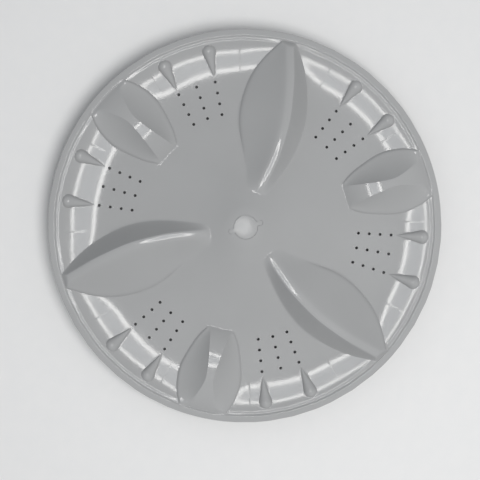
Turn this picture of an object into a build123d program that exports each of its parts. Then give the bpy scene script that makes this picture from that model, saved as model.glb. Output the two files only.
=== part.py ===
from build123d import *
from math import cos, hypot, pi, radians, sin, sqrt
import os

# A washing machine pulsator: a ribbed dish with three long fins, three humps
# between them, groups of drain holes and teardrop bumps round its wall. A
# splined metal insert is moulded into its hub, and a cap closes the bolt's
# recess. Millimetres, +Z up along the shaft, the plane of the rib edges at z = 0,
# one fin along +X.

# Dish, from the axis to the rim
PLATE_RADIUS = 212.0
WALL = 2.5
HUB_TOP_HEIGHT = 49.2
HUB_CROWN_CURVE = 60.0
VALLEY_RADIUS = 153.0
VALLEY_HEIGHT = 17.9
DISH_WALL_CURVE = 102.0
LEDGE_WIDTH = 3.2
LEDGE_RISE = 0.5
FLANGE_STEP_WIDTH = 1.8
FLANGE_WIDTH = 6.6
FLANGE_HEIGHT = 32.0
FLANGE_CHAMFER = 0.9
SKIRT_DEPTH = 12.0

# Ribs under the dish
RIB_COUNT = 12
RIB_THICKNESS = 2.2
RIB_FLAT_RADIUS = 150.0
RING_RIB_RADIUS = 58.0
BOSS_RADIUS = 20.5
RIB_FIRST_ANGLE = 15.0

# Fins
FIN_COUNT = 3
FIN_START_RADIUS = 38.0
FIN_TIP_OVERRUN = 3.0
FIN_HEIGHT = 48.0
FIN_PEAK_RADIUS = 113.0
FIN_CREST_CURVE = 334.0
FIN_CREST_WIDTH = 8.4
FIN_CREST_CROWN = 0.9
FIN_STEEP_WIDTH = 38.2
FIN_SPOON_WIDTH = 35.6
FIN_CREST_OFFSET = 15.2
FIN_END_ANGLE = 48.0
FIN_LIP_RISE = 3.0
FIN_LIP_RUN = 2.2
FIN_LIP_SHARE = 0.5
FIN_SCOOP_DEPTH = 0.50
FIN_SCOOP_PLACE = 0.45

# Sections of a fin from its start to its tip, each as shares: how far along the
# fin, then the steep foot, the crest and the spoon foot of their widest values
FIN_SECTIONS = (
    (0.000, 0.38, 0.28, 0.23),
    (0.130, 0.62, 0.60, 0.38),
    (0.254, 0.82, 0.86, 0.60),
    (0.374, 0.95, 0.97, 0.85),
    (0.506, 1.00, 1.00, 0.99),
    (0.644, 0.93, 0.85, 0.98),
    (0.782, 0.76, 0.60, 0.84),
    (0.890, 0.54, 0.32, 0.59),
    (1.000, 0.22, 0.03, 0.22),
)

# Humps between the fins
HUMP_COUNT = 3
HUMP_START_RADIUS = 114.5
HUMP_END_OVERRUN = 2.6
HUMP_HEIGHT = 40.0
HUMP_PEAK_RADIUS = 166.0
HUMP_CREST_CURVE = 78.0
HUMP_HALF_WIDTH = 35.2
HUMP_WIDEST_RADIUS = 168.5
HUMP_SIDE_CURVE = 74.0
HUMP_RIDGE_HALF_WIDTH = 4.2
HUMP_INNER_SPREAD = 0.21
HUMP_OUTER_SPREAD = 0.42
HUMP_LIP_RISE = 2.6
HUMP_LIP_RUN = 2.0
HUMP_LIP_SHARE = 0.8
HUMP_SCOOP_DEPTH = 0.36
HUMP_SECTION_COUNT = 7

# Drain holes
HOLE_RADIUS = 1.6
HOLE_SIDES = 8
HOLE_FIRST_RADIUS = 124.0
HOLE_PITCH = 12.0
HOLE_ROWS = 4
HOLE_COLUMN_ANGLES = (20.0, 27.5, 35.0)

# Teardrop bumps on the wall of the dish
DROP_TAIL_RADIUS = 165.5
DROP_HEAD_RADIUS = 192.5
DROP_ROUND_RADIUS = 7.4
DROP_SUNK_DEPTH = 1.8
DROP_ANGLES = (20.0, 35.0)

# Splined insert in the hub
INSERT_ACROSS_FLATS = 26.0
INSERT_HEIGHT = 28.0
PILOT_RADIUS = 9.6
PILOT_DEPTH = 5.0
SPLINE_ROOT_RADIUS = 9.0
SPLINE_TIP_RADIUS = 7.6
SPLINE_TEETH = 12
BOLT_SEAT_THICKNESS = 5.0
BOLT_HOLE_RADIUS = 4.25

# Cap over the bolt
BOLT_RECESS_RADIUS = 11.0
CAP_RADIUS = 12.6
CAP_THICKNESS = 5.2
CAP_CLEARANCE = 0.3
CAP_LUG_REACH = 18.8
CAP_LUG_WIDTH = 5.2
CAP_LUG_ANGLE = 120.0
CAP_SKIRT_DEPTH = 7.0
CAP_SKIRT_THICKNESS = 1.5

# Sizes that follow from the ones above
FLANGE_INNER_RADIUS = PLATE_RADIUS - FLANGE_WIDTH
STEP_FOOT_RADIUS = FLANGE_INNER_RADIUS - FLANGE_STEP_WIDTH
WALL_TOP_RADIUS = STEP_FOOT_RADIUS - LEDGE_WIDTH
FIN_TIP_RADIUS = WALL_TOP_RADIUS + FIN_TIP_OVERRUN
HUMP_END_RADIUS = WALL_TOP_RADIUS + HUMP_END_OVERRUN
FIN_SPACING = 360 / FIN_COUNT
HUMP_ANGLE = FIN_SPACING / 2
SKIRT_BOTTOM = FLANGE_HEIGHT - SKIRT_DEPTH

# The dome is an arc that is level in the valley and meets the hub's crown in line
crown_rest = VALLEY_HEIGHT - (HUB_TOP_HEIGHT - HUB_CROWN_CURVE)
DOME_CURVE = (VALLEY_RADIUS**2 + crown_rest**2 - HUB_CROWN_CURVE**2) / (2 * (HUB_CROWN_CURVE - crown_rest))
CROWN_EDGE_RADIUS = VALLEY_RADIUS * HUB_CROWN_CURVE / (DOME_CURVE + HUB_CROWN_CURVE)

# How far below the dish a loft is rooted, and how much its foot draws in with an inset
FORM_SINK = 3 * WALL
INSET_STEEP = 1.2
INSET_SPOON = 1.6
INSET_HUMP = 1.4


def arc_height(x, x_top, top, curve):
    """Height at x of a circular arc that is highest, at top, over x_top."""
    return top - curve + sqrt(curve**2 - (x - x_top) ** 2)


def crown_edge(inset):
    """Radius at which the hub's crown meets the dome, on a skin drawn in by the inset."""
    return CROWN_EDGE_RADIUS * (1 - inset / HUB_CROWN_CURVE)


def dish_height(radius, inset=0):
    """Height of the bare dish, drawn in by the inset: the hub's crown, the dome, then the wall."""
    if radius < crown_edge(inset):
        return arc_height(radius, 0, HUB_TOP_HEIGHT - inset, HUB_CROWN_CURVE - inset)
    curve = (DOME_CURVE if radius < VALLEY_RADIUS else DISH_WALL_CURVE) + inset
    return VALLEY_HEIGHT - inset + curve - sqrt(curve**2 - (radius - VALLEY_RADIUS) ** 2)


def dish_arc(start, end, inset):
    """One arc of the dish's line between two radii, drawn in by the inset."""
    middle = (start + end) / 2
    ThreePointArc(*((radius, dish_height(radius, inset)) for radius in (start, middle, end)))


def dish_line(inset):
    """The dish's line from the axis out to the foot of the flange, drawn in by the inset."""
    dish_arc(0, crown_edge(inset), inset)
    dish_arc(crown_edge(inset), VALLEY_RADIUS, inset)
    dish_arc(VALLEY_RADIUS, WALL_TOP_RADIUS, inset)
    Polyline(
        (WALL_TOP_RADIUS, dish_height(WALL_TOP_RADIUS, inset)),
        (STEP_FOOT_RADIUS + inset / 2, dish_height(WALL_TOP_RADIUS) + LEDGE_RISE - inset),
        (FLANGE_INNER_RADIUS + inset / 2, FLANGE_HEIGHT - inset),
    )


def across(radius):
    """Upright plane across a radius at the given distance from the axis."""
    return Plane(origin=(radius, 0, 0), x_dir=(0, 1, 0), z_dir=(1, 0, 0))


# Outer form of the dish, filled down to the plane of the rib edges
with BuildSketch(Plane.XZ) as dish_profile:
    with BuildLine():
        dish_line(0)
        Polyline(
            (FLANGE_INNER_RADIUS, FLANGE_HEIGHT),
            (PLATE_RADIUS - FLANGE_CHAMFER, FLANGE_HEIGHT),
            (PLATE_RADIUS, FLANGE_HEIGHT - FLANGE_CHAMFER),
            (PLATE_RADIUS, SKIRT_BOTTOM),
            (RIB_FLAT_RADIUS, 0),
            (0, 0),
            (0, HUB_TOP_HEIGHT),
        )
    make_face()


def fin_form(inset):
    """Loft of one fin along +X, drawn in by the inset on its top and sides."""
    length = FIN_TIP_RADIUS - FIN_START_RADIUS
    with BuildPart() as form:
        for along, steep, crest, spoon in FIN_SECTIONS:
            x = FIN_START_RADIUS + along * length
            steep_foot = -steep * FIN_STEEP_WIDTH + INSET_STEEP * inset
            spoon_foot = spoon * FIN_SPOON_WIDTH - INSET_SPOON * inset
            steep_floor = dish_height(hypot(x, steep_foot)) - inset
            spoon_floor = dish_height(hypot(x, spoon_foot)) - inset
            root = dish_height(x) - inset - FORM_SINK
            peak = arc_height(x, FIN_PEAK_RADIUS, FIN_HEIGHT, FIN_CREST_CURVE) - inset
            middle = -crest * FIN_CREST_OFFSET
            crest_start = (middle - FIN_CREST_WIDTH / 2, peak - FIN_CREST_CROWN)
            crest_end = (middle + FIN_CREST_WIDTH / 2, peak - FIN_CREST_CROWN)
            lip_rise = min(FIN_LIP_RISE, FIN_LIP_SHARE * (peak - spoon_floor))
            lip = (spoon_foot - FIN_LIP_RUN, spoon_floor + lip_rise)
            scoop = (
                crest_end[0] + FIN_SCOOP_PLACE * (lip[0] - crest_end[0]),
                lip[1] + FIN_SCOOP_DEPTH * (crest_end[1] - lip[1]),
            )
            with BuildSketch(across(x)):
                with BuildLine():
                    Polyline((steep_foot, root), (steep_foot, steep_floor), crest_start)
                    ThreePointArc(crest_start, (middle, peak), crest_end)
                    Spline(crest_end, scoop, lip)
                    Polyline(lip, (spoon_foot, spoon_floor), (spoon_foot, root), (steep_foot, root))
                make_face()
        loft()
        end_slope = radians(FIN_END_ANGLE)
        end = (FIN_TIP_RADIUS - inset, 0, dish_height(FIN_TIP_RADIUS) - inset)
        split(bisect_by=Plane(origin=end, z_dir=(sin(end_slope), 0, cos(end_slope))), keep=Keep.BOTTOM)
    return form.part


def hump_form(inset):
    """Loft of one hump along +X, drawn in by the inset on its top and sides."""
    first = HUMP_START_RADIUS + inset
    step = (HUMP_END_RADIUS - inset - first) / (HUMP_SECTION_COUNT - 1)
    with BuildPart() as form:
        for index in range(HUMP_SECTION_COUNT):
            x = first + index * step
            floor = dish_height(x) - inset
            foot = arc_height(x, HUMP_WIDEST_RADIUS, HUMP_HALF_WIDTH, HUMP_SIDE_CURVE) - INSET_HUMP * inset
            peak = arc_height(x, HUMP_PEAK_RADIUS, HUMP_HEIGHT, HUMP_CREST_CURVE) - inset
            spread = HUMP_INNER_SPREAD if x < HUMP_PEAK_RADIUS else HUMP_OUTER_SPREAD
            ridge = hypot(HUMP_RIDGE_HALF_WIDTH, spread * (x - HUMP_PEAK_RADIUS))
            lip = (foot - HUMP_LIP_RUN, floor + min(HUMP_LIP_RISE, HUMP_LIP_SHARE * (peak - floor)))
            ridge = min(ridge, lip[0] - HUMP_LIP_RUN)
            scoop = ((ridge + lip[0]) / 2, lip[1] + HUMP_SCOOP_DEPTH * (peak - lip[1]))
            with BuildSketch(across(x)):
                with BuildLine():
                    Polyline((foot, floor - FORM_SINK), (foot, floor), lip)
                    Spline(lip, scoop, (ridge, peak))
                    Line((ridge, peak), (-ridge, peak))
                    Spline((-ridge, peak), (-scoop[0], scoop[1]), (-lip[0], lip[1]))
                    Polyline((-lip[0], lip[1]), (-foot, floor), (-foot, floor - FORM_SINK))
                    Line((-foot, floor - FORM_SINK), (foot, floor - FORM_SINK))
                make_face()
        loft()
    return form.part


def drop_form():
    """One teardrop along +X: a round head and its cone, turned about a sinking line."""
    tail = Vector(DROP_TAIL_RADIUS, 0, dish_height(DROP_TAIL_RADIUS))
    wall_rise = dish_height(DROP_HEAD_RADIUS) - dish_height(DROP_TAIL_RADIUS)
    run = DROP_HEAD_RADIUS - DROP_TAIL_RADIUS
    head = Vector(DROP_HEAD_RADIUS, 0, tail.Z + wall_rise - DROP_SUNK_DEPTH * hypot(run, wall_rise) / run)
    line = head - tail
    reach = line.length
    touch = reach - DROP_ROUND_RADIUS**2 / reach
    touch_radius = DROP_ROUND_RADIUS * sqrt(1 - (DROP_ROUND_RADIUS / reach) ** 2)
    with BuildPart() as form:
        with BuildSketch(Plane(origin=tail, x_dir=line, z_dir=(0, 1, 0))):
            with BuildLine():
                Line((0, 0), (touch, touch_radius))
                ThreePointArc(
                    (touch, touch_radius),
                    (reach + DROP_ROUND_RADIUS * sin(pi / 4), DROP_ROUND_RADIUS * cos(pi / 4)),
                    (reach + DROP_ROUND_RADIUS, 0),
                )
                Line((reach + DROP_ROUND_RADIUS, 0), (0, 0))
            make_face()
        revolve(axis=Axis(tail, line))
    return form.part


# Filled form of the plate, with every raised shape on it
drop_angles = [
    HUMP_ANGLE + hump * FIN_SPACING + side * angle
    for hump in range(HUMP_COUNT)
    for side in (-1, 1)
    for angle in DROP_ANGLES
]
with BuildPart() as outer:
    add(dish_profile.sketch)
    revolve(axis=Axis.Z)
    with PolarLocations(0, FIN_COUNT):
        add(fin_form(0))
    with PolarLocations(0, HUMP_COUNT, start_angle=HUMP_ANGLE):
        add(hump_form(0))
    with Locations([Rotation(0, 0, angle) for angle in drop_angles]):
        add(drop_form())

# Ribs that stay under the dish: spokes between the fins and humps, and a ring
with BuildPart() as ribs:
    with BuildSketch():
        Circle(RING_RIB_RADIUS + RIB_THICKNESS / 2)
        Circle(RING_RIB_RADIUS - RIB_THICKNESS / 2, mode=Mode.SUBTRACT)
        with PolarLocations(PLATE_RADIUS / 2, RIB_COUNT, start_angle=RIB_FIRST_ANGLE):
            Rectangle(PLATE_RADIUS, RIB_THICKNESS)
        Circle(BOSS_RADIUS)
    extrude(amount=HUB_TOP_HEIGHT)

# Space under the dish, inside the fins and the humps
with BuildPart() as hollow:
    with BuildSketch(Plane.XZ):
        with BuildLine():
            dish_line(WALL)
            Polyline(
                (FLANGE_INNER_RADIUS + WALL / 2, FLANGE_HEIGHT - WALL),
                (PLATE_RADIUS - WALL, FLANGE_HEIGHT - WALL),
                (PLATE_RADIUS - WALL, -WALL),
                (0, -WALL),
                (0, HUB_TOP_HEIGHT - WALL),
            )
        make_face()
    revolve(axis=Axis.Z)
    with PolarLocations(0, FIN_COUNT):
        add(fin_form(WALL))
    with PolarLocations(0, HUMP_COUNT, start_angle=HUMP_ANGLE):
        add(hump_form(WALL))
    add(ribs.part, mode=Mode.SUBTRACT)

recess_floor = HUB_TOP_HEIGHT - CAP_THICKNESS
with BuildPart() as wash_plate:
    add(outer.part)
    add(hollow.part, mode=Mode.SUBTRACT)
    with BuildSketch():
        for column in HOLE_COLUMN_ANGLES:
            for side in (-1, 1):
                for row in range(HOLE_ROWS):
                    radius = HOLE_FIRST_RADIUS + row * HOLE_PITCH
                    with PolarLocations(radius, HUMP_COUNT, start_angle=HUMP_ANGLE + side * column):
                        RegularPolygon(HOLE_RADIUS, HOLE_SIDES)
    extrude(amount=HUB_TOP_HEIGHT, mode=Mode.SUBTRACT)
    with BuildSketch():
        RegularPolygon(INSERT_ACROSS_FLATS / 2, 6, major_radius=False)
    extrude(amount=INSERT_HEIGHT, mode=Mode.SUBTRACT)
    with BuildSketch(Plane.XY.offset(INSERT_HEIGHT)):
        Circle(BOLT_RECESS_RADIUS)
    extrude(amount=HUB_TOP_HEIGHT, mode=Mode.SUBTRACT)
    with BuildSketch(Plane.XY.offset(recess_floor)):
        Circle(CAP_RADIUS + CAP_CLEARANCE)
        lug_slot = 2 * (CAP_LUG_REACH + CAP_CLEARANCE)
        SlotOverall(lug_slot, CAP_LUG_WIDTH + 2 * CAP_CLEARANCE, rotation=CAP_LUG_ANGLE)
    extrude(amount=HUB_TOP_HEIGHT, mode=Mode.SUBTRACT)

with BuildPart() as spline_insert:
    with BuildSketch():
        RegularPolygon(INSERT_ACROSS_FLATS / 2, 6, major_radius=False)
        Circle(BOLT_HOLE_RADIUS, mode=Mode.SUBTRACT)
    extrude(amount=INSERT_HEIGHT)
    with BuildSketch():
        Circle(SPLINE_TIP_RADIUS)
        tooth_gap = pi * SPLINE_TIP_RADIUS / SPLINE_TEETH
        with PolarLocations(SPLINE_ROOT_RADIUS / 2, SPLINE_TEETH):
            Rectangle(SPLINE_ROOT_RADIUS, tooth_gap)
    extrude(amount=INSERT_HEIGHT - BOLT_SEAT_THICKNESS, mode=Mode.SUBTRACT)
    with BuildSketch():
        Circle(PILOT_RADIUS)
    extrude(amount=PILOT_DEPTH, mode=Mode.SUBTRACT)

with BuildPart() as bolt_cap:
    with BuildSketch(Plane.XY.offset(recess_floor)):
        Circle(CAP_RADIUS)
        SlotOverall(2 * CAP_LUG_REACH, CAP_LUG_WIDTH, rotation=CAP_LUG_ANGLE)
    extrude(amount=CAP_THICKNESS)
    add(dish_profile.sketch)
    revolve(axis=Axis.Z, mode=Mode.INTERSECT)
    with BuildSketch(Plane.XY.offset(recess_floor)):
        Circle(BOLT_RECESS_RADIUS - CAP_CLEARANCE)
        Circle(BOLT_RECESS_RADIUS - CAP_CLEARANCE - CAP_SKIRT_THICKNESS, mode=Mode.SUBTRACT)
    extrude(amount=-CAP_SKIRT_DEPTH)

wash_plate.part.label = "wash_plate"
spline_insert.part.label = "spline_insert"
bolt_cap.part.label = "bolt_cap"
os.makedirs("parts", exist_ok=True)
export_step(wash_plate.part, "parts/wash_plate.step")
export_step(spline_insert.part, "parts/spline_insert.step")
export_step(bolt_cap.part, "parts/bolt_cap.step")
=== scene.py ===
import bpy
import numpy as np
from math import pi, radians, tan
from mathutils import Matrix, Vector


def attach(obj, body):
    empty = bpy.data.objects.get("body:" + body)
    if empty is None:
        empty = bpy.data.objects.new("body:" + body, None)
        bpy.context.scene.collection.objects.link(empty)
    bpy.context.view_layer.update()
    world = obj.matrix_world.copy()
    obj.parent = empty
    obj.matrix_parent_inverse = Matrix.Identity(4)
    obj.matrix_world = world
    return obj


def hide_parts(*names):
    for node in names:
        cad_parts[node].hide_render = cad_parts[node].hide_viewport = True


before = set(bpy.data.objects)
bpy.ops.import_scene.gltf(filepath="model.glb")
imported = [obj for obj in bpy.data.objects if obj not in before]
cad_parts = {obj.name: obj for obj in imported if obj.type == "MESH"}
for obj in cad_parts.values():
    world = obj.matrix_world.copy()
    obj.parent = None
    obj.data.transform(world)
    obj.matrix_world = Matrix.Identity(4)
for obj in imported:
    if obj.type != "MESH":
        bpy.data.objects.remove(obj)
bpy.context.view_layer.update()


# ---------------------------------------------------------------- wash plate
# One injection moulding in light grey plastic: a dish with a raised hub, three
# long fins, three humps, drain holes and teardrop bumps, thin-walled and ribbed
# underneath. Sizes in millimetres, turned to metres when the mesh is made.
WALL = 2.5
RIM_RADIUS = 212.0
FLANGE_HEIGHT = 32.0
SKIRT_BOTTOM = 20.0
HUB_TOP, CROWN_CURVE = 49.2, 60.0
VALLEY_RADIUS, VALLEY_HEIGHT = 153.0, 17.9
WALL_CURVE = 102.0
WALL_TOP = 200.4
TIP = 203.4
FIN_ROOT = 38.0
HUMP_FIRST, HUMP_LAST = 113.4, 203.0

# The dome is one arc, level in the valley and in line with the hub's crown
REST = VALLEY_HEIGHT - HUB_TOP + CROWN_CURVE
DOME_CURVE = (VALLEY_RADIUS**2 + REST**2 - CROWN_CURVE**2) / (2 * (CROWN_CURVE - REST))
CROWN_EDGE = VALLEY_RADIUS * CROWN_CURVE / (DOME_CURVE + CROWN_CURVE)

# A fin's stations from root to tip, as shares of its length and widest values
FIN_ALONG = np.array([0.0, 0.13, 0.254, 0.374, 0.506, 0.644, 0.782, 0.89, 1.0])
FIN_STEEP = 38.2 * np.array([0.38, 0.62, 0.82, 0.95, 1.0, 0.93, 0.76, 0.54, 0.22])
FIN_CREST = 15.2 * np.array([0.28, 0.60, 0.86, 0.97, 1.0, 0.85, 0.60, 0.32, 0.03])
FIN_SPOON = 35.6 * np.array([0.23, 0.38, 0.60, 0.85, 0.99, 0.98, 0.84, 0.59, 0.22])
FIN_X = FIN_ROOT + FIN_ALONG * (TIP - FIN_ROOT)

# A hump's half width from its straight inner edge to the rim
HUMP_X = np.array([
    113.4, 120.4, 128.5, 136.7, 145.0, 153.3, 161.8, 169.6, 178.1, 186.7, 195.3, 203.0,
])
HUMP_WIDE = np.array([13.9, 18.9, 23.5, 26.9, 29.8, 32.4, 34.4, 35.0, 34.4, 32.8, 29.7, 25.5])


def smooth_curve(stations, values, at):
    """Natural cubic spline: between stations a cubic whose bends meet, straight beyond the ends."""
    gap = np.diff(stations)
    slope = np.diff(values) / gap
    middle = np.diag(2 * (gap[:-1] + gap[1:])) + np.diag(gap[1:-1], 1) + np.diag(gap[1:-1], -1)
    bend = np.concatenate([[0.0], np.linalg.solve(middle, 6 * np.diff(slope)), [0.0]])
    k = np.clip(np.searchsorted(stations, at) - 1, 0, len(gap) - 1)
    here = np.clip(at, stations[0], stations[-1]) - stations[k]
    left = gap[k] - here
    return (
        (bend[k] * left**3 + bend[k + 1] * here**3) / (6 * gap[k])
        + (values[k] / gap[k] - bend[k] * gap[k] / 6) * left
        + (values[k + 1] / gap[k] - bend[k + 1] * gap[k] / 6) * here
    )


def round_max(a, b, fillet):
    """The higher of two heights, with the corner between them filled by a hyperbola."""
    return 0.5 * (a + b + np.sqrt((a - b) ** 2 + fillet**2))


def round_min(a, b, fillet):
    """The lower of two heights, with the corner between them rounded off."""
    return -round_max(-a, -b, fillet)


def arc(x, x_top, top, curve):
    """Height of a circular arc that is highest, at top, over x_top."""
    return top - curve + np.sqrt(np.maximum(curve**2 - (x - x_top) ** 2, 0.0))


def dish_height(r):
    """Bare dish: the hub's spherical crown, the hollow arc of the dome, then the arc of the wall."""
    curve = np.where(r < VALLEY_RADIUS, DOME_CURVE, WALL_CURVE)
    hollow = VALLEY_HEIGHT + curve - np.sqrt(np.maximum(curve**2 - (r - VALLEY_RADIUS) ** 2, 0.0))
    return np.where(r < CROWN_EDGE, arc(r, 0.0, HUB_TOP, CROWN_CURVE), hollow)


def ease(value, start, end):
    """Smooth step from 0 at start to 1 at end: three squares less two cubes."""
    share = np.clip((value - start) / (end - start), 0.0, 1.0)
    return share**2 * (3 - 2 * share)


def fin_height(x, y, inset=0.0):
    """One fin along +x: the lowest of its steep side, crowned crest, scooped spoon side, lip and end."""
    steep = -smooth_curve(FIN_X, FIN_STEEP, x) + 1.2 * inset
    spoon = smooth_curve(FIN_X, FIN_SPOON, x) - 1.6 * inset
    steep_foot = dish_height(np.hypot(x, steep)) - inset
    spoon_foot = dish_height(np.hypot(x, spoon)) - inset
    middle = -smooth_curve(FIN_X, FIN_CREST, x)
    peak = arc(x, 113.0, 48.0, 334.0) - inset
    half, crown = 4.2, 0.3
    shoulder = peak - crown
    lip_rise = np.clip(0.5 * (peak - spoon_foot), 0.0, 3.0) * ease(x, 60.0, 100.0)
    lip_y, lip_z = spoon - lip_rise / 1.4, spoon_foot + lip_rise
    off = np.abs(y - middle) / half
    crest = peak - crown * np.where(off < 1, off**2, 2 * off - 1)
    share = np.minimum((y - middle - half) / np.maximum(lip_y - middle - half, 1.0), 1.0)
    scoop = lip_z + (shoulder - lip_z) * (1 - share * (1 + 0.2 * (1 - np.maximum(share, 0.0))))
    climb = (y - steep) / np.maximum(middle - half - steep, 1.0)
    side = steep_foot + (shoulder - steep_foot) * climb * (0.84 + 0.16 * np.clip(climb, 0.0, 1.0))
    side = np.where(y < steep, steep_foot - 1.4 * (steep - y), side)
    lip = spoon_foot + 1.4 * (spoon - y)
    end = dish_height(np.array(TIP)) - inset - (x - TIP + inset) * tan(radians(48))
    form = round_min(round_min(crest, side, 0.6), scoop, 1.5)
    form = round_min(form, round_min(lip, end, 0.5), 0.15 + 0.2 * lip_rise)
    return np.where((x > FIN_ROOT - 14) & (x < TIP + 2), form, -50.0)


def hump_height(x, y, inset=0.0):
    """One hump along +x: a flat ridge that narrows to its middle, hollow scoops and a lip round it."""
    y = np.abs(y)
    foot = smooth_curve(HUMP_X, HUMP_WIDE, x) - 1.4 * inset
    floor = dish_height(x) - inset
    foot_z = dish_height(np.hypot(x, foot)) - inset
    peak = arc(x, 166.0, 40.0, 78.0) - inset
    lip_rise = np.clip(0.8 * (peak - floor), 0.05, 2.6)
    lip_y, lip_z = foot - lip_rise / 1.3, foot_z + lip_rise
    ridge = np.minimum(np.hypot(4.2, np.where(x < 166.0, 0.21, 0.42) * (x - 166.0)), lip_y - 2.0)
    share = np.clip((y - ridge) / (lip_y - ridge), 0.0, 1.0)
    scoop = lip_z + (peak - lip_z) * (1 - share * (1 + 0.56 * (1 - share)))
    lip = foot_z + 1.3 * (foot - y)
    form = round_min(scoop, lip, 0.5)
    return np.where((x > HUMP_FIRST - 1) & (x < HUMP_LAST + 1) & (y < foot + 3), form, -50.0)


DROP_TAIL, DROP_HEAD, DROP_BALL = 165.5, 192.5, 7.4
DROP_RUN = DROP_HEAD - DROP_TAIL
DROP_CLIMB = dish_height(np.array(DROP_HEAD)) - dish_height(np.array(DROP_TAIL))
DROP_LEAN = np.arctan2(DROP_CLIMB - 1.8 * np.hypot(DROP_RUN, DROP_CLIMB) / DROP_RUN, DROP_RUN)


def drop_size(r):
    """Half width of a teardrop at a radius: a cone that opens from its tail, then the ball it touches."""
    reach = DROP_RUN / np.cos(DROP_LEAN)
    s = (r - DROP_TAIL) / np.cos(DROP_LEAN)
    cone = s * DROP_BALL / np.sqrt(reach**2 - DROP_BALL**2)
    ball = np.sqrt(np.maximum(DROP_BALL**2 - (s - reach) ** 2, 0.0))
    return np.maximum(np.where(s < reach - DROP_BALL**2 / reach, cone, ball), 0.0)


def drop_height(r, across):
    """One teardrop: its leaning middle line, and over it half a circle as wide as the drop."""
    size = drop_size(r)
    line = dish_height(np.array(DROP_TAIL)) + (r - DROP_TAIL) * np.tan(DROP_LEAN)
    body = line + np.sqrt(np.maximum(size**2 - across**2, 0.0)) / np.cos(DROP_LEAN)
    return np.where((size > 0) & (np.abs(across) <= size + 0.01), body, -50.0)


def plate_top(r, angle):
    """Upper skin: the dish, and over it fins every 120 degrees, humps between them and the drops."""
    turn = (angle + pi / 3) % (2 * pi / 3) - pi / 3
    dish = dish_height(r)
    fin = fin_height(r * np.cos(turn), r * np.sin(turn))
    off = pi / 3 - np.abs(turn)
    hump = hump_height(r * np.cos(off), r * np.sin(off))
    drops = [drop_height(r, r * (off - radians(place))) for place in (20.0, 35.0)]
    skin = round_max(dish, fin, 0.25 + 0.65 * ease(r, 46.0, 70.0))
    skin = round_max(skin, hump, 0.6)
    return round_max(skin, np.maximum(*drops), 0.2)


# Rim of the dish: a narrow ledge, a riser and the flat flange, as radius and height
RIM_LINE = np.array([
    (WALL_TOP, 29.58), (200.9, 29.74), (201.6, 29.81), (202.7, 29.94), (203.4, 30.09), (203.75, 30.27),
    (204.2, 30.73), (205.0, 31.58), (205.35, 31.84), (205.8, 31.96), (206.5, 32.0), (211.0, 32.0),
])


def rimmed_top(r, angle):
    """Upper skin out to the flange: beyond the wall's top it follows the rim's line."""
    turn = (angle + pi / 3) % (2 * pi / 3) - pi / 3
    off = pi / 3 - np.abs(turn)
    rim = np.interp(r, RIM_LINE[:, 0], RIM_LINE[:, 1])
    rim = round_max(rim, fin_height(r * np.cos(turn), r * np.sin(turn)), 0.3)
    rim = round_max(rim, hump_height(r * np.cos(off), r * np.sin(off)), 0.3)
    return np.where(r <= WALL_TOP, plate_top(r, angle), rim)


def under_skin(r, angle):
    """Lower skin, a wall's thickness below the upper one, or the ribs' edges where a rib stands."""
    slope = (dish_height(r + 0.5) - dish_height(r - 0.5)) / 1.0
    dish = np.where(r > 204.0, FLANGE_HEIGHT - WALL, dish_height(r) - WALL * np.sqrt(1 + slope**2))
    turn = (angle + pi / 3) % (2 * pi / 3) - pi / 3
    off = pi / 3 - np.abs(turn)
    skin = round_max(dish, fin_height(r * np.cos(turn), r * np.sin(turn), WALL), 2.5)
    skin = round_max(skin, hump_height(r * np.cos(off), r * np.sin(off), WALL), 2.5)
    edge = np.maximum(0.0, SKIRT_BOTTOM * (r - 150.0) / (RIM_RADIUS - 150.0))
    from_spoke = r * np.abs((angle % (pi / 6)) - pi / 12)
    ribbed = (from_spoke < 1.115) | (np.abs(r - 58.0) < 1.115) | (r < 20.6)
    return np.where(ribbed, edge, skin)


def shares(count, crowd):
    """Even steps from 0 towards 1, drawn towards both ends by a sine."""
    even = np.arange(count) / count
    return even - crowd * np.sin(2 * pi * even) / (2 * pi)


def line_angle(r, x, y):
    """Angle at which a line given by points x, y crosses each radius."""
    return np.interp(r, np.hypot(x, y), np.arctan2(y, x))


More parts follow.
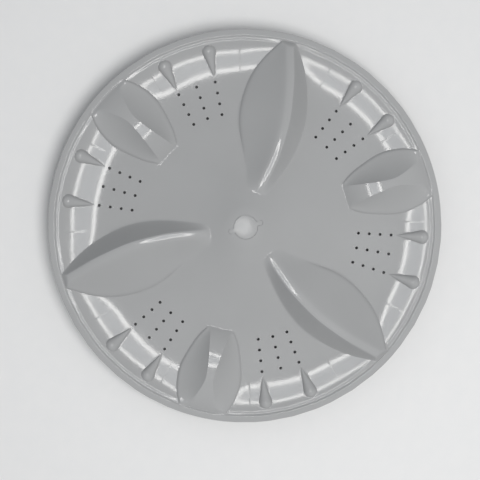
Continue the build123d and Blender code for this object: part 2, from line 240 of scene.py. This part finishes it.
def top_angles(r):
    """Angles of the mesh's columns at one radius: they follow the outlines, lips and crest edges."""
    x = np.linspace(FIN_ROOT, TIP, 120)
    spoon = smooth_curve(FIN_X, FIN_SPOON, x)
    middle = -smooth_curve(FIN_X, FIN_CREST, x)
    fin_lines = (-smooth_curve(FIN_X, FIN_STEEP, x), middle - 4.2, middle + 4.2, spoon - 2.2, spoon)
    fin = [line_angle(r, x, y) for y in fin_lines]
    x = np.linspace(HUMP_FIRST, HUMP_LAST, 120)
    foot = smooth_curve(HUMP_X, HUMP_WIDE, x)
    ridge = np.minimum(np.hypot(4.2, np.where(x < 166.0, 0.21, 0.42) * (x - 166.0)), foot - 4.0)
    hump = [line_angle(r, x, y) for y in (ridge, foot - 2.0, foot)]
    outward = ease(r, 140.0, 163.0)
    wide = max(float(drop_size(np.array(r))), 0.7)
    edges = np.array([-wide - 2.0, -wide - 0.6, -wide, wide, wide + 0.6, wide + 2.0]) / r
    held = np.concatenate([radians(20) + edges, radians(35) + edges])
    lines = []
    for side in (-1, 1):
        gap = pi / 3 - side * fin[0 if side < 0 else 4] - hump[2]
        even = hump[2] + gap * np.array([0.17, 0.2, 0.23, 0.39, 0.42, 0.45, 0.55, 0.58, 0.61, 0.77, 0.8, 0.83])
        half = [0.0] + hump + list(even + outward * (held - even))
        lines.append([side * (pi / 3 - place) for place in half])
    order = lines[0] + fin + lines[1][::-1]
    half_counts = [4, 10, 3, 3, 1, 1, 8, 1, 1, 2, 1, 1, 8, 1, 1, 4]
    half_crowds = [0, 0.6, 0, 0.5, 0, 0, 0.3, 0, 0, 0, 0, 0, 0.3, 0, 0, 0.5]
    counts = half_counts + [8, 6, 11, 3] + half_counts[::-1]
    crowds = half_crowds + [0.8, 0.3, 0.6, 0] + half_crowds[::-1]
    sector = np.concatenate([
        a + (b - a) * shares(n, c) for a, b, n, c in zip(order[:-1], order[1:], counts, crowds)
    ])
    return np.concatenate([sector + 2 * pi / 3 * k for k in range(3)])


def under_angles(r):
    """Angles of the columns below: close pairs at the faces of the twelve spokes, even steps between."""
    near, far = np.arcsin(1.1 / r), np.arcsin(1.13 / r)
    inner = far + (pi / 6 - 2 * far) * np.arange(1, 29) / 29
    pocket = np.concatenate([[near, far], inner, [pi / 6 - far, pi / 6 - near]])
    ring = np.concatenate([pocket + pi / 12 + pi / 6 * k for k in range(-3, 9)])
    return np.concatenate([ring[16:], ring[:16] + 2 * pi])


def hexagon(angle, flats):
    """Radius of a hexagon with the given distance across its flats, at each angle."""
    return flats / 2 / np.cos((angle - pi / 6) % (pi / 3) - pi / 6)


def lugged_ring(angle, radius, reach, width, lug_angle):
    """Radius of a disc with two round-ended lugs, at each angle."""
    off = (angle - lug_angle + pi / 2) % pi - pi / 2
    end = reach - width / 2
    root = np.sqrt(np.maximum((width / 2) ** 2 - (end * np.sin(off)) ** 2, 0.0))
    tip = np.where(np.abs(end * np.sin(off)) < width / 2, end * np.cos(off) + root, 0.0)
    side = width / 2 / np.maximum(np.abs(np.sin(off)), 1e-6)
    return np.maximum(radius, np.minimum(tip, side))


def span(first, last, count):
    """Evenly spaced values from first up to, but not including, last."""
    return np.linspace(first, last, count, endpoint=False)


def closed_tube(name, x, y, z):
    """Mesh of a grid whose rows and columns both close on themselves, with faces turned outwards."""
    rows, columns = x.shape
    corners = np.stack([x, y, z], axis=-1).reshape(-1, 3) / 1000
    i, j = np.meshgrid(np.arange(rows), np.arange(columns), indexing="ij")
    down, right = (i + 1) % rows, (j + 1) % columns
    faces = np.stack([i * columns + j, down * columns + j, down * columns + right, i * columns + right], -1)
    faces = faces.reshape(-1, 4)
    a, b, c, d = (corners[faces[:, k]] for k in range(4))
    if np.sum(np.cross(b - a, c - a) * a) + np.sum(np.cross(c - a, d - a) * a) < 0:
        faces = faces[:, ::-1]
    mesh = bpy.data.meshes.new(name)
    mesh.from_pydata(corners, [], faces)
    mesh.polygons.foreach_set("use_smooth", np.ones(len(faces), bool))
    piece = bpy.data.objects.new(name, mesh)
    bpy.context.scene.collection.objects.link(piece)
    return piece


CAP_SEAT, BOLT_SEAT = 44.0, 28.0
LUG_ANGLE = radians(120)
top_radii = np.concatenate([
    span(13, 17.8, 3), span(17.8, 34, 10), span(34, 42, 14), span(42, 110, 32),
    [110.0, 111.5, 112.5, 113.0, 113.3, 113.6, 113.9, 114.2, 114.6, 115.1, 115.8], span(117, 163, 26),
    span(163, 192, 28), span(192, WALL_TOP, 14), RIM_LINE[:, 0],
])
rows_x, rows_y, rows_z = [], [], []


def add_row(radius, angle, height):
    """Adds one closed row of the plate's mesh, from its radius, angle and height at each column."""
    rows_x.append(radius * np.cos(angle))
    rows_y.append(radius * np.sin(angle))
    rows_z.append(height + 0 * angle)


def hump_edge(r, angle):
    """Stretch that lays the rows straight across a hump's inner edge: one over the cosine, fading out."""
    off = np.abs((angle + 2 * pi / 3) % (2 * pi / 3) - pi / 3)
    straight, faded = radians(7.5), radians(20)
    near = np.maximum(1 - abs(r - 113.8) / 8, 0.0)
    return 1 + near * (1 / np.cos(np.minimum(off, straight)) - 1) * (1 - ease(off, straight, faded))


hub_angles = top_angles(13.0)
seat = lugged_ring(hub_angles, 12.8, 19.0, 5.6, LUG_ANGLE)
add_row(seat - 0.05, hub_angles, CAP_SEAT)
add_row(seat, hub_angles, CAP_SEAT + 0.3)
add_row(seat, hub_angles, dish_height(seat) - 0.12)
add_row(seat + 0.12, hub_angles, dish_height(seat + 0.12))
for r in top_radii[1:]:
    angles = top_angles(r)
    radius = np.maximum(r, seat + 0.2 + 0.02 * (r - 13)) if r < 20 else r * hump_edge(r, angles)
    add_row(radius, angles, rimmed_top(radius, angles))
skirt_line = [
    (211.6, 31.85), (211.9, 31.5), (212.0, 31.0), (212.0, 27.0), (212.0, 23.5), (212.0, 20.4), (211.7, 20.0),
]
for (r, z), share in zip(skirt_line, (0, 0, 0, 0.3, 0.7, 1, 1)):
    add_row(r, (1 - share) * top_angles(RIM_RADIUS) + share * under_angles(RIM_RADIUS), z)
under_radii = np.concatenate([
    [209.5, 209.45, 204.2, 203.8], span(202, 114, 32), span(114, 60, 17), [59.13, 59.1, 56.9, 56.87],
    span(55, 22, 10), [20.62, 20.5],
])
add_row(209.8, under_angles(209.8), SKIRT_BOTTOM)
for r in under_radii:
    angles = under_angles(r)
    height = under_skin(r + 0 * angles, angles)
    add_row(r, angles, np.minimum(height, SKIRT_BOTTOM + 0.3) if r == 209.5 else height)
bore_angles = under_angles(20.5)
add_row(hexagon(bore_angles, 26.0), bore_angles, 0.0)
add_row(hexagon(bore_angles, 26.0), bore_angles, BOLT_SEAT)
add_row(11.0, bore_angles, BOLT_SEAT)
add_row(11.0, (bore_angles + hub_angles) / 2, (BOLT_SEAT + CAP_SEAT) / 2)
add_row(11.0, hub_angles, CAP_SEAT)
plate = closed_tube("moulded_plate", np.array(rows_x), np.array(rows_y), np.array(rows_z))

# Drain holes: straight pins driven through the floor, twelve each side of a hump
hole_r, hole_off, hump, side = (g.ravel() for g in np.meshgrid(
    124.0 + 12.0 * np.arange(4), np.radians([20.0, 27.5, 35.0]), np.arange(3), (-1, 1)))
hole_at = pi / 3 + 2 * pi / 3 * hump + side * hole_off
around = np.linspace(0, 2 * pi, 16, endpoint=False)
pin_x = (hole_r * np.cos(hole_at))[:, None] + 1.6 * np.cos(around)
pin_y = (hole_r * np.sin(hole_at))[:, None] + 1.6 * np.sin(around)
pins = np.stack([
    np.stack([pin_x, pin_y, np.full_like(pin_x, low)], -1) for low in (9.0, 30.0)
], 1).reshape(-1, 3) / 1000
pin, corner = (g.ravel() for g in np.meshgrid(np.arange(72), np.arange(16), indexing="ij"))
base, after = 32 * pin, (corner + 1) % 16
walls = np.stack([base + corner, base + after, base + 16 + after, base + 16 + corner], -1).tolist()
lids = [list(32 * k + np.arange(16)[::-1]) for k in range(72)]
lids += [list(32 * k + 16 + np.arange(16)) for k in range(72)]
drill_mesh = bpy.data.meshes.new("drill")
drill_mesh.from_pydata(pins, [], walls + lids)
drill = bpy.data.objects.new("drill", drill_mesh)
bpy.context.scene.collection.objects.link(drill)
cut = plate.modifiers.new("drain_holes", "BOOLEAN")
cut.operation, cut.object, cut.solver = "DIFFERENCE", drill, "EXACT"
bpy.context.view_layer.update()
drilled = bpy.data.meshes.new_from_object(plate.evaluated_get(bpy.context.evaluated_depsgraph_get()))
plate.modifiers.clear()
plate.data = drilled
bpy.data.objects.remove(drill)
plate.data.polygons.foreach_set("use_smooth", np.ones(len(plate.data.polygons), bool))
plate.data.set_sharp_from_angle(angle=radians(34))


def grey_plastic(name, colour, roughness):
    """Satin moulded plastic: fine pigment mottle, uneven gloss and a faint orange peel."""
    material = bpy.data.materials.new(name)
    material.use_nodes = True
    tree = material.node_tree
    shader = tree.nodes["Principled BSDF"]
    shader.inputs["IOR"].default_value = 1.5
    place = tree.nodes.new("ShaderNodeTexCoord")
    mottle = tree.nodes.new("ShaderNodeTexNoise")
    mottle.inputs["Scale"].default_value = 14.0
    mottle.inputs["Detail"].default_value = 5.0
    tree.links.new(place.outputs["Object"], mottle.inputs["Vector"])
    tint = tree.nodes.new("ShaderNodeValToRGB")
    tint.color_ramp.elements[0].position, tint.color_ramp.elements[1].position = 0.3, 0.7
    tint.color_ramp.elements[0].color = (*[0.975 * c for c in colour], 1)
    tint.color_ramp.elements[1].color = (*[1.02 * c for c in colour], 1)
    tree.links.new(mottle.outputs["Fac"], tint.inputs["Fac"])
    tree.links.new(tint.outputs["Color"], shader.inputs["Base Color"])
    gloss = tree.nodes.new("ShaderNodeMapRange")
    gloss.inputs["To Min"].default_value = roughness - 0.03
    gloss.inputs["To Max"].default_value = roughness + 0.03
    tree.links.new(mottle.outputs["Fac"], gloss.inputs["Value"])
    tree.links.new(gloss.outputs["Result"], shader.inputs["Roughness"])
    peel = tree.nodes.new("ShaderNodeTexNoise")
    peel.inputs["Scale"].default_value = 260.0
    peel.inputs["Detail"].default_value = 3.0
    tree.links.new(place.outputs["Object"], peel.inputs["Vector"])
    bump = tree.nodes.new("ShaderNodeBump")
    bump.inputs["Strength"].default_value = 0.25
    bump.inputs["Distance"].default_value = 0.00001
    tree.links.new(peel.outputs["Fac"], bump.inputs["Height"])
    tree.links.new(bump.outputs["Normal"], shader.inputs["Normal"])
    bump.name = "orange_peel"
    return material


def reckon(tree, task, a, b=0.0):
    """One sum in a material: a and b are numbers, or outputs of earlier nodes."""
    node = tree.nodes.new("ShaderNodeMath")
    node.operation = task
    for socket, value in zip(node.inputs, (a, b)):
        if isinstance(value, float):
            socket.default_value = value
        else:
            tree.links.new(value, socket)
    return node.outputs[0]


def sink_lines(material):
    """Faint dents over the spokes: r * pi/6 * |part - 1/2| is the way from the nearest spoke."""
    tree = material.node_tree
    place = tree.nodes.new("ShaderNodeTexCoord")
    parts = tree.nodes.new("ShaderNodeSeparateXYZ")
    tree.links.new(place.outputs["Object"], parts.inputs[0])
    x, y = parts.outputs[0], parts.outputs[1]
    squares = reckon(tree, "MULTIPLY", x, x), reckon(tree, "MULTIPLY", y, y)
    r = reckon(tree, "SQRT", reckon(tree, "ADD", *squares))
    turns = reckon(tree, "MULTIPLY", reckon(tree, "ARCTAN2", y, x), 6 / pi)
    part = reckon(tree, "ABSOLUTE", reckon(tree, "SUBTRACT", reckon(tree, "FRACT", turns), 0.5))
    away = reckon(tree, "MULTIPLY", reckon(tree, "MULTIPLY", part, r), pi / 6)
    dents = []
    for value, low, high in ((away, 0.0014, 0.0), (r, 0.168, 0.175), (r, 0.195, 0.190)):
        fade = tree.nodes.new("ShaderNodeMapRange")
        fade.interpolation_type = "SMOOTHSTEP"
        fade.inputs["From Min"].default_value, fade.inputs["From Max"].default_value = low, high
        tree.links.new(value, fade.inputs["Value"])
        dents.append(fade.outputs["Result"])
    depth = reckon(tree, "MULTIPLY", reckon(tree, "MULTIPLY", dents[0], dents[1]), dents[2])
    dent = tree.nodes.new("ShaderNodeBump")
    dent.invert = True
    dent.inputs["Strength"].default_value = 1.0
    dent.inputs["Distance"].default_value = 0.0001
    tree.links.new(depth, dent.inputs["Height"])
    tree.links.new(dent.outputs["Normal"], tree.nodes["orange_peel"].inputs["Normal"])


plate_plastic = grey_plastic("plate_plastic", (0.352, 0.356, 0.36), 0.11)
sink_lines(plate_plastic)
plate.data.materials.append(plate_plastic)
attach(plate, "root")
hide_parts("wash_plate")


# ---------------------------------------------------------------- bolt cap
# Small moulded disc with two round-ended lugs, pressed into the hub's recess to
# close the bolt's well; flush on top, with a thin skirt below that grips.
CAP_RADIUS, CAP_REACH, CAP_LUG = 12.6, 18.8, 5.2
angle = np.linspace(0, 2 * pi, 240, endpoint=False)
outline = lugged_ring(angle, CAP_RADIUS, CAP_REACH, CAP_LUG, LUG_ANGLE)
ring = np.ones_like(angle)
cap_line = [(9.2 * ring, 37.0), (10.7 * ring, 37.0), (10.7 * ring, CAP_SEAT), (outline - 0.05, CAP_SEAT)]
cap_line += [(outline, CAP_SEAT + 0.1), (outline, dish_height(outline) - 0.12)]
cap_rings = [outline - 0.12] + [outline * k for k in np.linspace(0.97, 0.004, 16)]
cap_line += [(radius, dish_height(radius)) for radius in cap_rings]
cap_line += [(outline * 0.004, CAP_SEAT), (9.2 * ring, CAP_SEAT)]
cap = closed_tube(
    "hub_cap",
    np.array([r * np.cos(angle) for r, z in cap_line]),
    np.array([r * np.sin(angle) for r, z in cap_line]),
    np.array([z + 0 * angle for r, z in cap_line]),
)
cap.data.set_sharp_from_angle(angle=radians(34))
cap.data.materials.append(grey_plastic("cap_plastic", (0.354, 0.358, 0.362), 0.27))
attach(cap, "root")
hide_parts("bolt_cap")


# ---------------------------------------------------------------- splined insert
# Sintered steel bush moulded into the hub; its teeth take the drive shaft's
# spline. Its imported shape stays, and gets a finely pitted metal finish.
steel = bpy.data.materials.new("sintered_steel")
steel.use_nodes = True
shader = steel.node_tree.nodes["Principled BSDF"]
shader.inputs["Metallic"].default_value = 1.0
pits = steel.node_tree.nodes.new("ShaderNodeTexNoise")
pits.inputs["Scale"].default_value = 900.0
where = steel.node_tree.nodes.new("ShaderNodeTexCoord")
steel.node_tree.links.new(where.outputs["Object"], pits.inputs["Vector"])
tone = steel.node_tree.nodes.new("ShaderNodeValToRGB")
tone.color_ramp.elements[0].color = (0.30, 0.29, 0.27, 1)
tone.color_ramp.elements[1].color = (0.52, 0.50, 0.46, 1)
steel.node_tree.links.new(pits.outputs["Fac"], tone.inputs["Fac"])
steel.node_tree.links.new(tone.outputs["Color"], shader.inputs["Base Color"])
dull = steel.node_tree.nodes.new("ShaderNodeMapRange")
dull.inputs["To Min"].default_value, dull.inputs["To Max"].default_value = 0.38, 0.6
steel.node_tree.links.new(pits.outputs["Fac"], dull.inputs["Value"])
steel.node_tree.links.new(dull.outputs["Result"], shader.inputs["Roughness"])
insert_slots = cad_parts["spline_insert"].material_slots
for slot in insert_slots:
    slot.material = steel


# ---------------------------------------------------------------- floor, lights and camera
# A sheet of pale paper under the plate, soft light from above, a ring lamp seen in
# the gloss, and a camera looking nearly straight down from a little over a metre.
bpy.ops.mesh.primitive_plane_add(size=4.0, location=(0, 0, -0.0002))
floor = bpy.context.active_object
floor.name = "paper_floor"
paper = bpy.data.materials.new("pale_paper")
paper.use_nodes = True
paper_shader = paper.node_tree.nodes["Principled BSDF"]
paper_shader.inputs["Roughness"].default_value = 0.9
fibre = paper.node_tree.nodes.new("ShaderNodeTexNoise")
fibre.inputs["Scale"].default_value = 60.0
fibre_at = paper.node_tree.nodes.new("ShaderNodeTexCoord")
paper.node_tree.links.new(fibre_at.outputs["Object"], fibre.inputs["Vector"])
shade = paper.node_tree.nodes.new("ShaderNodeValToRGB")
shade.color_ramp.elements[0].color = (0.73, 0.735, 0.74, 1)
shade.color_ramp.elements[1].color = (0.76, 0.76, 0.76, 1)
paper.node_tree.links.new(fibre.outputs["Fac"], shade.inputs["Fac"])
paper.node_tree.links.new(shade.outputs["Color"], paper_shader.inputs["Base Color"])
floor.data.materials.append(paper)

FIN_IN_PICTURE, LEAN_ACROSS, LEAN_UP = radians(76.68), radians(1.21), radians(1.97)
turn = Matrix.Rotation(-FIN_IN_PICTURE, 3, "Z") @ Matrix.Rotation(-LEAN_ACROSS, 3, "Y")
turn = turn @ Matrix.Rotation(-LEAN_UP, 3, "X")
camera_data = bpy.data.cameras.new("camera")
camera_data.sensor_width, camera_data.lens = 36.0, 36.0 * 1000 / 480
camera = bpy.data.objects.new("camera", camera_data)
camera.matrix_world = turn.to_4x4()
camera.location = (0.0157, 0.0330, 1.1073)
bpy.context.scene.collection.objects.link(camera)
bpy.context.scene.camera = camera

world = bpy.data.worlds.new("soft_room")
world.use_nodes = True
world.node_tree.nodes["Background"].inputs["Color"].default_value = (0.96, 0.98, 1.0, 1)
world.node_tree.nodes["Background"].inputs["Strength"].default_value = 0.37
bpy.context.scene.world = world
bpy.context.scene.view_settings.view_transform = "Standard"


def picture_point(across, up, height):
    """Point above the plate, by metres across and up as the camera sees them."""
    return turn @ Vector((across, up, 0)) + Vector((0, 0, height))


def disc_light(name, size, across, up, height, power, colour, seen_in_gloss):
    """Round lamp aimed at the plate's middle, unseen by the camera: for the gloss only, or never in it."""
    lamp = bpy.data.lights.new(name, "AREA")
    lamp.shape, lamp.size, lamp.energy, lamp.color = "DISK", size, power, colour
    lit = bpy.data.objects.new(name, lamp)
    lit.location = picture_point(across, up, height)
    lit.rotation_euler = lit.location.to_track_quat("Z", "Y").to_euler()
    lit.visible_camera = False
    lit.visible_diffuse = not seen_in_gloss
    lit.visible_glossy = seen_in_gloss
    bpy.context.scene.collection.objects.link(lit)


disc_light("overhead_softbox", 1.0, 0.36, -0.30, 1.6, 21.0, (1.0, 0.992, 0.98), False)
disc_light("sky_side", 1.2, -1.3, 0.9, 1.1, 1.6, (0.86, 0.93, 1.0), False)
disc_light("ring_middle", 0.14, -0.036, 0.002, 0.432, 0.10, (0.93, 0.96, 1.0), True)

# The ring lamp seen in the dish's gloss, a flat glowing ring, in metres
TUBE_INNER, TUBE_OUTER, TUBE_STEPS = 0.075, 0.104, 96
tube_turn = np.linspace(0, 2 * pi, TUBE_STEPS, endpoint=False)
tube_angle, tube_r = np.meshgrid(tube_turn, [TUBE_INNER, TUBE_OUTER])
tube_points = np.stack([tube_r * np.cos(tube_angle), tube_r * np.sin(tube_angle), 0 * tube_r], -1)
tube_points = tube_points.reshape(-1, 3)
step = np.arange(TUBE_STEPS)
next_step = (step + 1) % TUBE_STEPS
tube_faces = np.stack([step, next_step, TUBE_STEPS + next_step, TUBE_STEPS + step], -1)
tube_mesh = bpy.data.meshes.new("ring_lamp")
tube_mesh.from_pydata(tube_points, [], tube_faces)
ring_lamp = bpy.data.objects.new("ring_lamp", tube_mesh)
ring_lamp.location = picture_point(-0.036, 0.002, 0.43)
ring_lamp.visible_camera = ring_lamp.visible_diffuse = ring_lamp.visible_shadow = False
ring_lamp.visible_transmission = False
glow = bpy.data.materials.new("lamp_glow")
glow.use_nodes = True
glow_shader = glow.node_tree.nodes["Principled BSDF"]
glow_shader.inputs["Base Color"].default_value = (0, 0, 0, 1)
glow_shader.inputs["Emission Color"].default_value = (1.0, 0.99, 0.97, 1)
glow_shader.inputs["Emission Strength"].default_value = 12.0
tube_mesh.materials.append(glow)
bpy.context.scene.collection.objects.link(ring_lamp)
